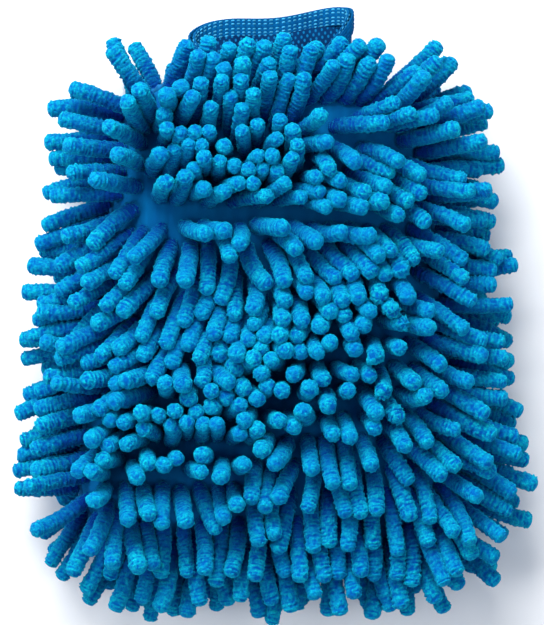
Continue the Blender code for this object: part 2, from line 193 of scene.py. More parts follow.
# How the front pile is combed, in millimetres: x and y of a root, then the sideways parts of the
# unit vector along which a noodle rooted there points.
COMB = [
    # along the top and round the cuff
    (-61, 94, -0.35, 0.85), (-52, 94, -0.05, 0.90), (-46, 95, 0.25, 0.88), (-40, 93, 0.50, 0.78),
    (-33, 92, 0.52, 0.76), (-24, 92, 0.45, 0.70), (-30, 85, 0.46, 0.68), (-20, 86, 0.40, 0.60),
    (-36, 88, 0.52, 0.72), (-9, 83, 0.15, 0.85), (0, 88, 0.40, 0.80),
    (7, 90, 0.60, 0.72), (16, 91, 0.80, 0.52), (27, 98, 0.42, 0.84), (36, 98, 0.42, 0.82),
    (46, 96, 0.65, 0.62), (55, 92, 0.75, 0.52),
    # left shoulder and upper left side
    (-65, 86, -0.88, 0.25), (-48, 88, -0.93, 0.0), (-58, 77, -0.93, 0.02), (-66, 66, -0.93, 0.05),
    (-64, 56, -0.88, -0.25), (-60, 48, -0.80, -0.45), (-68, 38, -0.78, -0.50),
    # right shoulder and upper right side
    (22, 82, 0.86, 0.40), (33, 78, 0.86, 0.32), (26, 72, 0.90, -0.12), (38, 64, 0.82, -0.25),
    (48, 57, 0.82, -0.38), (58, 84, 0.88, 0.35), (66, 70, 0.93, 0.0), (68, 50, 0.93, -0.20),
    # the cluster in the upper left hollow
    (-35, 80, 0.05, 0.12), (-24, 77, 0.0, 0.22), (-41, 84, 0.40, 0.40),
    (11, 66, 0.0, 0.55), (18, 69, 0.25, -0.60), (29, 62, 0.50, -0.60), (-3, 73, 0.05, 0.72),
    (-15, 84, -0.10, 0.60), (-17, 75, -0.25, 0.55), (-9, 75, 0.0, 0.55), (-30, 66, 0.0, 0.10),
    (-44, 78, 0.45, 0.42), (-48, 68, 0.05, 0.65), (-47, 54, 0.0, 0.55), (-36, 58, 0.05, 0.12),
    (-20, 60, 0.0, 0.10), (-5, 60, 0.0, 0.08), (8, 56, 0.05, 0.08), (-43, 43, 0.40, 0.42),
    (-32, 46, 0.08, 0.30), (-36, 38, 0.55, 0.35), (-18, 42, 0.48, 0.42), (-8, 41, 0.60, 0.38),
    (2, 41, 0.62, 0.28), (12, 40, 0.62, 0.10), (22, 46, 0.28, 0.0), (28, 42, 0.38, -0.12),
    (-30, 38, 0.72, 0.18),
    # hanging below the upper bare band
    (-56, 38, -0.75, -0.38), (-51, 31, -0.60, -0.65), (-45, 27, -0.40, -0.80), (-38, 25, -0.22, -0.85),
    (-30, 25, -0.08, -0.90), (-20, 23, -0.10, -0.88), (-9, 22, 0.18, -0.80), (1, 23, 0.35, -0.70),
    (11, 24, 0.36, -0.65), (21, 24, 0.34, -0.58), (30, 20, 0.22, -0.45), (-26, 12, -0.10, -0.72),
    (-14, 10, -0.12, -0.66), (-3, 9, 0.08, -0.52), (10, 9, 0.05, -0.25), (24, 8, 0.08, -0.15),
    (-52, 33, -0.55, -0.66), (-44, 29, -0.35, -0.82), (-34, 29, -0.18, -0.88), (-24, 29, -0.06, -0.88),
    (-12, 29, 0.20, -0.85), (0, 29, 0.40, -0.76), (11, 29, 0.42, -0.72), (22, 29, 0.38, -0.62),
    # the middle, seen end-on
    (-8, -10, 0.0, -0.10), (8, -8, 0.0, -0.05), (22, -6, 0.02, -0.05), (36, -5, 0.08, -0.08),
    (-12, -28, 0.05, 0.0), (5, -28, 0.0, 0.0), (22, -26, 0.02, 0.0), (36, -25, 0.10, -0.10),
    (-10, -45, 0.0, 0.10), (5, -45, 0.0, -0.12), (20, -42, 0.06, -0.20), (-28, -15, 0.30, -0.38),
    (-30, -28, 0.50, 0.02), (0, -19, 0.0, 0.0), (12, -18, 0.0, -0.05), (23, -15, 0.02, -0.05),
    (34, -15, 0.06, -0.05), (44, -14, 0.16, -0.12), (44, -4, 0.15, -0.12), (12, -36, 0.0, -0.05),
    (30, -34, 0.08, -0.10), (42, -34, 0.20, -0.20), (43, -42, 0.28, -0.32), (8, -50, 0.0, -0.15),
    # left of the middle
    (-38, 8, -0.35, -0.72), (-38, -3, -0.20, -0.70), (-48, 12, -0.60, -0.62), (-44, -8, -0.60, -0.45),
    (-55, -4, -0.74, -0.38), (-66, 2, -0.86, -0.30), (-42, -24, -0.50, -0.25), (-54, -28, -0.66, -0.25),
    (-68, -24, -0.88, -0.22), (-64, 20, -0.82, -0.42), (-36, -36, -0.20, 0.10),
    # the cluster at the lower left
    (-76, -40, -0.62, -0.16), (-70, -46, -0.32, -0.08), (-60, -45, -0.18, -0.06),
    (-46, -46, -0.08, 0.0), (-32, -46, 0.0, 0.12), (-62, -58, -0.20, 0.10), (-48, -58, 0.0, 0.12),
    (-35, -58, 0.10, 0.42), (-24, -59, 0.28, 0.50),
    (-42, -68, 0.05, 0.52), (-58, -68, 0.25, 0.22), (-50, -68, 0.08, 0.28), (-22, -67, 0.0, 0.08),
    (-14, -70, 0.05, -0.18), (-72, -57, -0.18, 0.0), (-76, -64, -0.35, -0.05), (-74, -72, -0.15, 0.10),
    # hanging below the lower bare band
    (-73, -81, 0.22, -0.72), (-65, -78, 0.34, -0.76), (-53, -76, 0.05, -0.86), (-42, -76, 0.04, -0.88),
    (-31, -71, 0.66, -0.55), (-31, -78, 0.10, -0.88), (-20, -78, 0.10, -0.88), (-2, -68, -0.20, -0.62),
    (-7, -78, -0.05, -0.88),
    # the lower middle and right
    (8, -58, -0.25, -0.58), (20, -57, 0.0, -0.68), (31, -58, 0.04, -0.74), (40, -50, 0.28, -0.62),
    (50, -47, 0.50, -0.50), (60, -44, 0.65, -0.44), (31, -43, 0.20, -0.36), (6, -74, -0.10, -0.88),
    (22, -74, 0.04, -0.90), (36, -74, 0.16, -0.89), (50, -74, 0.28, -0.86), (62, -70, 0.50, -0.76),
    (-60, -74, 0.20, -0.84), (-48, -74, 0.02, -0.90), (-36, -74, 0.02, -0.90), (-26, -74, 0.10, -0.90),
    (-14, -75, 0.02, -0.90), (-40, -88, 0.0, -0.94), (-15, -88, 0.03, -0.94), (12, -88, 0.03, -0.94),
    (38, -88, 0.14, -0.93), (-62, -88, 0.05, -0.93), (58, -86, 0.30, -0.90),
    (72, -58, 0.74, -0.50), (76, -42, 0.84, -0.43),
    # the right side
    (46, 12, 0.36, -0.32), (56, 6, 0.60, -0.40), (70, 2, 0.86, -0.36), (74, -20, 0.88, -0.36),
    (70, 24, 0.90, -0.28), (56, 28, 0.74, -0.42), (60, -22, 0.64, -0.42), (48, -22, 0.36, -0.32),
    (44, 36, 0.62, -0.45), (34, 34, 0.42, -0.42),
    # the left edge, and round the closed end
    (-80, -45, -0.88, -0.38), (-82, -62, -0.86, -0.45), (-82, -78, -0.86, -0.42), (-80, -90, -0.65, -0.70),
    (-70, -95, -0.20, -0.93), (-55, -97, 0.0, -0.95), (0, -97, 0.02, -0.95), (50, -97, 0.16, -0.93),
    (70, -94, 0.36, -0.88), (81, -80, 0.66, -0.66), (82, -62, 0.80, -0.52),
]
COMB_REACH = 0.0062
FAR_KEY_WEIGHT = 1e-9
FAR_KEY_SOFTENING = 1e-5

# Bands of fabric that show between the noodles, in millimetres: from, to and half the band's width
BARE_BANDS = [
    ((-61, 66), (-58, 44), 3.5),
    ((-57, 91), (-47, 89), 3.5),
    ((7, 83), (19, 79), 3.0),
    ((-76, -76), (-70, -76), 2.0),
    ((-34, -8), (-34, -20), 1.5),
]

# Where the pile is planted more thickly, in millimetres: centre, reach across and along, how thickly
CROWDS = [
    ((-12, 62), (34, 22), 1.0),
    ((-52, -54), (30, 16), 0.6),
    ((44, 66), (24, 17), 0.5),
]

# Rings of noodles along the seam: tier, how far in from the seam, the surface they are rooted in,
# their rise in degrees or None where they rise as combed, phase, and where they start at the left
EDGE_RINGS = [
    ("front_edge", 0.0100, "front", None, 0.5, 0.008),
    ("front_edge", 0.0030, "front", 20, 0.0, 0.0165),
    ("seam", -0.0015, "seam", 2, 0.5, 0.024),
    ("back_edge", 0.0035, "back", -12, 0.0, 0.024),
    ("back_edge", 0.0110, "back", -32, 0.5, 0.024),
]

# Swells and hollows of the front fabric, in millimetres: centre, reach across and along, height
SWELLS = [
    ((-12, 62), (34, 22), -7.0),
    ((-58, 56), (9, 24), 3.0),
    ((-6, 32), (42, 8), 4.5),
    ((22, 80), (22, 14), 2.5),
    ((2, -24), (30, 26), -3.5),
    ((-54, -52), (26, 14), -4.0),
    ((-56, -76), (30, 7), 3.0),
    ((-34, -14), (6, 18), 3.0),
    ((52, -40), (20, 40), 1.5),
]
SWELL_FADE_SIDE = 0.014
SWELL_FADE_END = 0.014
SWELL_FADE_NECK = 0.012

# Colours, linear
FIBRE_LOW, FIBRE_TIP = (0.0001, 0.320, 0.590, 1), (0.0050, 0.740, 0.750, 1)
# The groove blue is painted shade: it darkens the pile where its surface dips between ridges.
PAINTED_GROOVE_SHADE = (0.0001, 0.095, 0.440, 1)
OTHER_BLUE = (0.0001, 0.180, 0.530, 1)
# The root blue is painted shade: it darkens each noodle along most of its length down towards the root.
PAINTED_ROOT_SHADE = (0.0001, 0.028, 0.240, 1)
PILE_SHEEN = (0.01, 0.75, 1.0, 1.0)
BASE_DARK, BASE_LIGHT = (0.0003, 0.055, 0.260, 1), (0.0008, 0.150, 0.400, 1)
CUFF_DARK, CUFF_LIGHT = (0.0001, 0.036, 0.150, 1), (0.0004, 0.100, 0.290, 1)
KNIT_SHEEN = (0.02, 0.60, 1.0, 1.0)
NAVY_DARK, NAVY_LIGHT = (0.0002, 0.022, 0.090, 1), (0.0004, 0.045, 0.160, 1)
DOT_BLUE = (0.004, 0.170, 0.400, 1)
ELASTIC_BLUE = (0.060, 0.460, 0.760, 1)
THREAD_BLUE = (0.004, 0.170, 0.430, 1)
FLOOR_WHITE = (0.97, 0.97, 0.97, 1.0)
SKY = (0.78, 0.92, 1.18, 1)

# The studio: each lamp's place and power in watts, and the camera above the mitt
SKY_STRENGTH = 0.30
FLOOR_HALF = 3.0
LAMP_SIZE = 0.9
LAMPS = {
    "key": ((-0.35, 1.12, 0.92), 33),
    "fill": ((0.70, -0.35, 1.25), 5),
    "left": ((-1.00, -0.10, 1.00), 7),
}
LAMPS_AIM = (0, 0, 0.03)
EYE = (0.0004, -0.0006, 1.25)
FOCUS_Z = 0.030
VIEW_HEIGHT = 0.2625
SENSOR_WIDTH = 36.0


# ---- the bag's surfaces


def half_width(y):
    y = np.asarray(y, float)
    share = np.clip((y - SHOULDER_Y) / (NECK_Y - SHOULDER_Y), 0.0, 1.0)
    shoulder = NECK_HALF_WIDTH + (SHOULDER_HALF_WIDTH - NECK_HALF_WIDTH) * (1 - share**SHOULDER_POWER)
    along = (y - BAG_END) / (SHOULDER_Y - BAG_END)
    taper = END_HALF_WIDTH + (SHOULDER_HALF_WIDTH - END_HALF_WIDTH) * along
    short = np.clip(BAG_END + CORNER_RADIUS - y, 0.0, CORNER_RADIUS)
    body = taper - CORNER_RADIUS + np.sqrt(CORNER_RADIUS**2 - short**2)
    return np.where(y > SHOULDER_Y, shoulder, body)


def panel_depth(y, full, neck):
    short = np.clip((BAG_END + END_RISE - y) / END_RISE, 0.0, 1.0)
    rise = full * np.sqrt(1 - short**2)
    share = np.clip((y - SHOULDER_Y) / (NECK_Y - SHOULDER_Y), 0.0, 1.0)
    return rise + (neck - rise) * (0.5 - 0.5 * np.cos(math.pi * share))


def spread(x, y, centre, reach):
    """How far a place is from a centre in millimetres, squared, as a share of its reach each way."""
    across, along = (x - centre[0] * MM) / (reach[0] * MM), (y - centre[1] * MM) / (reach[1] * MM)
    return across**2 + along**2


def swell(x, y):
    """The front fabric's own hollows and ridges, in metres, fading out towards the seam and neck."""
    total = np.zeros(np.broadcast(x, y).shape)
    for centre, reach, height in SWELLS:
        total = total + height * MM * np.exp(-spread(x, y, centre, reach))
    inside = np.clip((half_width(y) - np.abs(x)) / SWELL_FADE_SIDE, 0.0, 1.0)
    end = np.clip((y - BAG_END) / SWELL_FADE_END, 0.0, 1.0)
    return total * inside * (end * np.clip((NECK_Y - y) / SWELL_FADE_NECK, 0.0, 1.0))


def front_z(x, y):
    share = np.clip(np.abs(x) / half_width(y), 0.0, 1.0)
    lift = panel_depth(y, FRONT_DEPTH, NECK_FRONT_DEPTH) * np.sqrt(1 - share**ARCH_POWER)
    return SEAM_Z + RIM_GAP + lift + swell(x, y)


def back_z(x, y):
    share = np.clip(np.abs(x) / half_width(y), 0.0, 1.0)
    lift = panel_depth(y, BACK_DEPTH, NECK_BACK_DEPTH) * np.sqrt(1 - share**ARCH_POWER)
    return SEAM_Z - RIM_GAP - lift


def seam_line(count=600):
    """The seam from the mouth's left, round the closed end, to its right, with outward directions."""
    top = 0.5 * (FRONT_NECK_END + BACK_NECK_END)
    y = BAG_END + (top - BAG_END) * (0.5 + 0.5 * np.cos(np.linspace(0, math.pi, count)))
    left = np.stack([-half_width(y), y], 1)
    right = left[::-1] * [-1, 1]
    line = np.concatenate([left, right])
    steps = np.linalg.norm(np.diff(line, axis=0), axis=1)
    travelled = np.concatenate([[0.0], np.cumsum(steps)])
    return line, travelled


def along_seam(distances):
    """The places at distances along the seam, and the level directions out of the bag."""
    line, travelled = seam_line()

    def at(distance):
        return [np.interp(distance, travelled, line[:, axis]) for axis in (0, 1)]

    (x0, y0), (x1, y1) = at(distances - MM), at(distances + MM)
    dx, dy = x1 - x0, y1 - y0
    norm = np.hypot(dx, dy)
    return np.stack(at(distances), 1), np.stack([dy / norm, -dx / norm], 1)


# ---- planting the pile


def combed(x, y):
    """The sideways lean of the pile at each place, blended from COMB."""
    keys = np.array(COMB, float)
    dx = x[:, None] - keys[None, :, 0] * MM
    dy = y[:, None] - keys[None, :, 1] * MM
    apart = dx**2 + dy**2
    weight = np.exp(-apart / (2 * COMB_REACH**2)) + FAR_KEY_WEIGHT / (apart + FAR_KEY_SOFTENING)
    weight /= weight.sum(1, keepdims=True)
    return weight @ keys[:, 2:4]


def in_bare_band(x, y):
    hit = np.zeros(len(x), bool)
    point = np.stack([x, y], 1) / MM
    for start, stop, half in BARE_BANDS:
        a, b = np.array(start, float), np.array(stop, float)
        share = np.clip(((point - a) @ (b - a)) / ((b - a) @ (b - a)), 0.0, 1.0)
        nearest = a + share[:, None] * (b - a)
        hit |= np.linalg.norm(point - nearest, axis=1) < half
    return hit


def skew(x):
    """How far the mouth's edge stands towards the cuff end at x: its right side stands further."""
    return CUFF_SKEW * np.asarray(x, float) - CUFF_SHIFT


def mouth_y(rise):
    """Where the neck ends: further along the back, where rise is -1, than along the front."""
    share = (1 + np.asarray(rise, float)) / 2
    return BACK_NECK_END - (BACK_NECK_END - FRONT_NECK_END) * share**MOUTH_POWER


def mouth_edge(angle):
    """The neck's end round the mouth: a slanted, slightly wavy line. angle is 90 degrees at the front."""
    wave = MOUTH_WAVES[0] * np.cos(3 * angle + 0.6) + MOUTH_WAVES[1] * np.sin(5 * angle)
    return mouth_y(np.sin(angle)) + skew(NECK_HALF_WIDTH * np.cos(angle)) + wave


class Pile:
    """Every noodle's root, first direction, length, radius, kind and the piece that it belongs to."""

    def __init__(self):
        self.noodles = []

    def plant(self, root, aim, length, radius, kind, piece):
        self.noodles.append((root, np.asarray(aim) / np.linalg.norm(aim), length, radius, kind, piece))

    def arrays(self):
        return [np.array(column) for column in zip(*self.noodles)]


def rows_of(prefix):
    return sorted(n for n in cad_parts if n.startswith(prefix))


def crowding(x, y):
    """How thickly the pile is planted at a place, from 0 to 1."""
    return max(strength / (1 + spread(x, y, centre, reach) ** 4) for centre, reach, strength in CROWDS)


def row_places(row_y, reach, phase):
    """A tufted row: evenly spaced noodles, drawn closer and into a zigzag where the pile is thick."""
    x, side, places = -reach + phase, 1, []
    while x < reach:
        thick = crowding(x, row_y)
        places.append((x, row_y + side * CROWD_ZIGZAG * thick, thick))
        x += ROW_SPACING + (CROWD_SPACING - ROW_SPACING) * thick
        side = -side
    return np.array(places)


def plant_front(pile):
    """The front panel's rows, and one more beside the last row, which stands close to the mouth."""
    nodes = rows_of("front_noodle_row_")
    steps = [ROW_PITCH * number + ROW_SLIPS.get(number, 0.0) for number in range(len(nodes))]
    places = [(node, FIRST_ROW_Y + step) for node, step in zip(nodes, steps)]
    places.append((nodes[-1], places[-1][1] + LAST_ROW_STEP))
    for number, (node, row_y) in enumerate(places):
        reach = float(half_width(row_y)) - SIDE_MARGIN
        x, y, thick = row_places(row_y, reach, 0.5 * ROW_SPACING * (number % 2)).T
        x = x + RNG.uniform(-SCATTER, SCATTER, len(x))
        y = y + RNG.uniform(-SCATTER, SCATTER, len(x))
        keep = ~in_bare_band(x, y)
        x, y, thick = x[keep], y[keep], thick[keep]
        lean = combed(x, y) + RNG.normal(0, LEAN_SCATTER, (len(x), 2))
        size = np.linalg.norm(lean, axis=1)
        lean *= (np.minimum(size, MOST_LEAN) / np.maximum(size, 1e-6))[:, None]
        up = np.sqrt(1 - (lean**2).sum(1))
        for i in range(len(x)):
            root = (x[i], y[i], float(front_z(x[i], y[i])) - ROOT_SINK)
            length = NOODLE_LENGTH * RNG.uniform(*LENGTH_SPREAD)
            radius = NOODLE_RADIUS * (1 - CROWD_THINNER * thick[i]) * RNG.uniform(*RADIUS_SPREAD)
            pile.plant(root, (lean[i, 0], lean[i, 1], up[i]), length, radius, "front", node)


def seam_part(distance, total):
    """Which stretch of the seam a distance along it is on: left, end or right."""
    end_half = END_HALF_WIDTH - CORNER_RADIUS + END_PAST_FLAT
    if distance < total / 2 - end_half:
        return "left"
    return "right" if distance > total / 2 + end_half else "end"


def edge_lean(place, outward, tilt):
    """A ring's level directions, between combed and straight out, and how far the combed ones lean."""
    lean = combed(place[:, 0], place[:, 1])
    size = np.linalg.norm(lean, axis=1)
    lean /= size[:, None]
    above = place[:, 1:] > COMBED_ABOVE_Y
    follow = 1.0 if tilt is None else np.where(above, SHOULDER_FOLLOW, SIDE_FOLLOW)
    flat = follow * lean + (1 - follow) * outward
    return flat / np.linalg.norm(flat, axis=1, keepdims=True), size


def plant_edges(pile):
    """The rings that follow the seam: two on the front's slope, one on the seam, two behind."""
    _, travelled = seam_line()
    total = travelled[-1]
    surfaces = {"front": front_z, "back": back_z, "seam": lambda x, y: SEAM_Z}
    for tier, inset, kind, tilt, phase, skip in EDGE_RINGS:
        count = int((total - skip - RIGHT_SKIP) / EDGE_SPACING)
        distance = skip + (np.arange(count) + phase) * EDGE_SPACING
        distance = distance + RNG.uniform(-EDGE_SCATTER, EDGE_SCATTER, count)
        place, outward = along_seam(distance)
        place = place - outward * inset
        flat, size = edge_lean(place, outward, tilt)
        for i in range(count):
            part = seam_part(distance[i], total)
            if tilt is None and part == "end":
                continue
            x, y = place[i]
            rise = math.degrees(math.acos(min(size[i], 0.95))) if tilt is None else tilt
            angle = math.radians(rise + RNG.uniform(-EDGE_SWAY, EDGE_SWAY))
            level = (flat[i] + RNG.normal(0, EDGE_TWIST, 2)) * math.cos(angle)
            length = EDGE_LENGTH * RNG.uniform(*EDGE_LENGTH_SPREAD)
            if y > BY_CUFF_Y and x < 0:
                length *= BY_CUFF_LENGTH
            radius = NOODLE_RADIUS * RNG.uniform(*RADIUS_SPREAD)
            root = (x, y, float(surfaces[kind](x, y)))
            pile.plant(root, (*level, math.sin(angle)), length, radius, kind, f"{part}_{tier}_noodles")


def plant_back(pile):
    """The noodles that the mitt lies on. They splay outwards and are pressed flat in settle()."""
    for number, node in enumerate(rows_of("back_noodle_row_")):
        row_y = FIRST_BACK_ROW_Y + BACK_ROW_PITCH * number
        reach = max(float(half_width(row_y)) - SIDE_MARGIN, BACK_LEAST_REACH)
        row = np.arange(-40, 41) * BACK_SPACING + 0.5 * BACK_SPACING * (number % 2)
        for x in row[np.abs(row) < reach]:
            y = row_y + RNG.uniform(-BACK_SCATTER, BACK_SCATTER)
            across = BACK_SPLAY_ACROSS * x / BACK_SPLAY_WIDTH + RNG.normal(0, BACK_AIM_SCATTER)
            along = y / BACK_SPLAY_LENGTH if y < BACK_NECK_Y else BACK_NECK_SPLAY
            along = along + RNG.normal(0, BACK_AIM_SCATTER)
            length, radius = NOODLE_LENGTH * BACK_LENGTH_SHARE, NOODLE_RADIUS * BACK_RADIUS_SHARE
            root = (x, y, float(back_z(x, y)))
            pile.plant(root, (across, along, BACK_DROP), length, radius, "back", node)


# ---- settling the pile


def near_pairs(beads, owner, reach):
    """Pairs of beads of different noodles that are within reach of each other."""
    tree = KDTree(len(beads))
    for i, p in enumerate(beads):
        tree.insert(p, i)
    tree.balance()
    first, second = [], []
    for i, p in enumerate(beads):
        for _, j, _ in tree.find_range(p, reach):
            if j > i and owner[j] != owner[i]:
                first.append(i)
                second.append(j)
    return np.array(first), np.array(second)


def straighten(beads, aim, bend, step):
    """Draw each bead towards the line of the two before it, so that a noodle resists bending."""
    for k in range(1, BEADS):
        ahead = aim if k == 1 else beads[:, k - 1] - beads[:, k - 2]
        ahead = ahead / np.linalg.norm(ahead, axis=1, keepdims=True)
        if k > 1:
            ahead = ahead + bend
            ahead = ahead / np.linalg.norm(ahead, axis=1, keepdims=True)
        straight = beads[:, k - 1] + ahead * step
        beads[:, k] += (straight - beads[:, k]) * (ROOT_STIFFNESS if k == 1 else STIFFNESS)


def push_apart(beads, pairs, bead_radius, loose):
    """Push overlapping beads of different noodles off each other, less where many of them meet."""
    a, b = pairs
    gap = beads[b] - beads[a]
    distance = np.linalg.norm(gap, axis=1)
    overlap = bead_radius[a] + bead_radius[b] - distance
    hit = overlap > 0
    push = (gap[hit] / np.maximum(distance[hit], 1e-6)[:, None]) * (overlap[hit] * 0.5)[:, None]
    a, b = a[hit], b[hit]
    weight = loose[a] + loose[b]
    move = np.zeros_like(beads)
    for axis in range(3):
        into_b = push[:, axis] * 2 * loose[b] / np.maximum(weight, 1)
        into_a = -push[:, axis] * 2 * loose[a] / np.maximum(weight, 1)
        move[:, axis] = np.bincount(b, into_b, len(beads)) + np.bincount(a, into_a, len(beads))
    met = np.bincount(b, minlength=len(beads)) + np.bincount(a, minlength=len(beads))
    beads += move / np.maximum(met, 1)[:, None] ** CROWD_DAMPING * PUSH_SHARE


def keep_clear(beads, radius, kind):
    """Keep beads, past a noodle's first stretch, clear of the panel it stands on and the floor."""
    x, y, z = beads[..., 0], beads[..., 1], beads[..., 2]
    lifted = np.linspace(0, 1, BEADS)[None, :] > LAID_SHARE
    inside = (np.abs(x) < half_width(y)) & (y > BAG_END) & lifted
    over = front_z(x, y) + radius[:, None] * FABRIC_CLEARANCE
    under = back_z(x, y) - radius[:, None] * FABRIC_CLEARANCE
    z = np.where((kind == "front")[:, None] & inside, np.maximum(z, over), z)
    z = np.where((kind == "back")[:, None] & inside, np.minimum(z, under), z)
    beads[..., 2] = np.where(lifted, np.maximum(z, radius[:, None] * FLOOR_CLEARANCE), z)


def keep_length(beads, root, step):
    """Put each chain back on its root, with its beads a step apart."""
    beads[:, 0] = root
    for k in range(1, BEADS):
        gap = beads[:, k] - beads[:, k - 1]
        beads[:, k] = beads[:, k - 1] + gap / np.linalg.norm(gap, axis=1, keepdims=True) * step


def settle(pile):
    """Each noodle's chain of beads once it has been pushed about. Some still overlap at the end."""
    root, aim, length, radius, kind, _ = pile.arrays()
    count = len(root)
    reach = length - radius * LAST_BEAD_IN
    step = (reach / (BEADS - 1))[:, None]
    share = np.linspace(0, 1, BEADS)
    beads = root[:, None, :] + aim[:, None, :] * (reach[:, None] * share)[:, :, None]
    flat = beads.reshape(-1, 3)
    owner = np.repeat(np.arange(count), BEADS)
    bead_radius = np.repeat(radius, BEADS)
    loose = np.tile(share > HELD_SHARE, count).astype(float)
    bend = RNG.normal(0, BEND, (count, 3))
    for turn in range(SETTLE_STEPS):
        if turn % STEPS_PER_SEARCH == 0:
            pairs = near_pairs(flat, owner, SEARCH_REACH)
        straighten(beads, aim, bend, step)
        beads[:, :, 2] -= SAG * share[None, :] ** 2
        push_apart(flat, pairs, bead_radius, loose)
        keep_clear(beads, radius, kind)
        keep_length(beads, root, step)
    return beads


# ---- noodle meshes


def centre_lines(beads, radius, rings):
    """Each chain as a smooth line of rings points, ending at the noodle's very tip."""
    first = 2 * beads[:, :1] - beads[:, 1:2]
    last_step = beads[:, -1:] - beads[:, -2:-1]
    last_step /= np.linalg.norm(last_step, axis=2, keepdims=True)
    tip = beads[:, -1:] + last_step * (radius * LAST_BEAD_IN)[:, None, None]
    beyond = 2 * tip - beads[:, -1:]
    points = np.concatenate([first, beads, tip, beyond], 1)
    spans = points.shape[1] - 3
    where = np.linspace(0, spans, rings)
    index = np.minimum(where.astype(int), spans - 1)
    t = (where - index)[None, :, None]
    p0, p1, p2, p3 = (points[:, index + k] for k in range(4))
    square, cube = 2 * p0 - 5 * p1 + 4 * p2 - p3, 3 * p1 - p0 - 3 * p2 + p3
    return 0.5 * (2 * p1 + (p2 - p0) * t + square * t**2 + cube * t**3)


def carried_frames(line):
    """Two directions square to each line, carried along it without twist."""
    along = np.gradient(line, axis=1)
    along /= np.linalg.norm(along, axis=2, keepdims=True)
    start = along[:, 0]
    pick = np.where(np.abs(start[:, :1]) < 0.8, [[1.0, 0, 0]], [[0, 1.0, 0]])
    side = np.cross(start, pick)
    side /= np.linalg.norm(side, axis=1, keepdims=True)
    sides = [side]
    for k in range(1, line.shape[1]):
        side = side - (side * along[:, k]).sum(1, keepdims=True) * along[:, k]
        side = side / np.linalg.norm(side, axis=1, keepdims=True)
        sides.append(side)
    side = np.stack(sides, 1)
    return side, np.cross(along, side)


def smoothed(field, axis, times):
    """A field blurred along one axis. The axis round a noodle, the last, closes on itself."""
    for _ in range(times):
        before, after = np.roll(field, 1, axis), np.roll(field, -1, axis)
        if axis < field.ndim - 1:
            before[:, 0], after[:, -1] = field[:, 0], field[:, -1]
        field = (before + 2 * field + after) / 4
    return field


def terry(count, rings, sides):
    """The pile's surface: short ridges across the noodle, with finer lumps and slow swells over them."""
    ridges = smoothed(RNG.normal(size=(count, rings, sides)), 2, 4)
    ridges = smoothed(ridges, 1, 1) - smoothed(ridges, 1, 4)
    nubs = smoothed(RNG.normal(size=(count, rings, sides)), 1, 2)
    slow = smoothed(smoothed(RNG.normal(size=(count, rings, sides)), 1, 14), 2, 4)
    layers = ((RIDGE_HEIGHT, ridges), (NUB_HEIGHT, nubs), (SLOW_HEIGHT, slow))
    return sum(height * (field / field.std()) for height, field in layers)


def frayed(root):
    """The noodles of one tufted column whose cut ends have burst open."""
    x, y = root[:, 0], root[:, 1]
    return (np.abs(x - FRAY_X) < FRAY_REACH) & (y > FRAY_FROM) & (y < FRAY_TO)


def noodle_thickness(length, radius, travelled):
    """Each noodle's girth at each ring, as a share of its radius: a narrow foot and a round tip."""
    to_tip = length[:, None] - travelled
    dome = np.clip(1 - to_tip / (radius[:, None] * DOME_LENGTH), 0, 1)
    foot = np.clip(travelled / FOOT_LENGTH, 0, 1)
    return np.sqrt(np.clip(1 - dome**2, 0, 1)) * (FOOT_GIRTH + (1 - FOOT_GIRTH) * foot * (2 - foot))


def noodle_faces(used, sides):
    """One tube's quads between its rings, and its triangles to the two poles, which come last."""
    i, j = np.meshgrid(np.arange(used - 1), np.arange(sides), indexing="ij")
    after = (j + 1) % sides
    quads = np.stack([i * sides + j, i * sides + after, (i + 1) * sides + after, (i + 1) * sides + j], -1)
    j = np.arange(sides)
    after = (j + 1) % sides
    low = np.stack([np.full(sides, used * sides), after, j], -1)
    last_ring = (used - 1) * sides
    high = np.stack([np.full(sides, used * sides + 1), last_ring + j, last_ring + after], -1)
    return quads.reshape(-1, 4), np.concatenate([low, high])


def tube_mesh(name, verts, quads, tris, count):
    """A mesh of count tubes with the same faces, whose verts follow each other."""
    shift = (np.arange(count) * (len(verts) // count))[:, None, None]
    corners = np.concatenate([(quads[None] + shift).reshape(-1), (tris[None] + shift).reshape(-1)])
    quad_count, tri_count = count * len(quads), count * len(tris)
    starts = np.concatenate([np.arange(quad_count) * 4, quad_count * 4 + np.arange(tri_count) * 3])
    mesh = bpy.data.meshes.new(name)
    mesh.vertices.add(len(verts))
    mesh.vertices.foreach_set("co", verts.astype(np.float32).ravel())
    mesh.loops.add(len(corners))
    mesh.loops.foreach_set("vertex_index", corners.astype(np.int32))
    mesh.polygons.add(quad_count + tri_count)
    mesh.polygons.foreach_set("loop_start", starts.astype(np.int32))
    return mesh


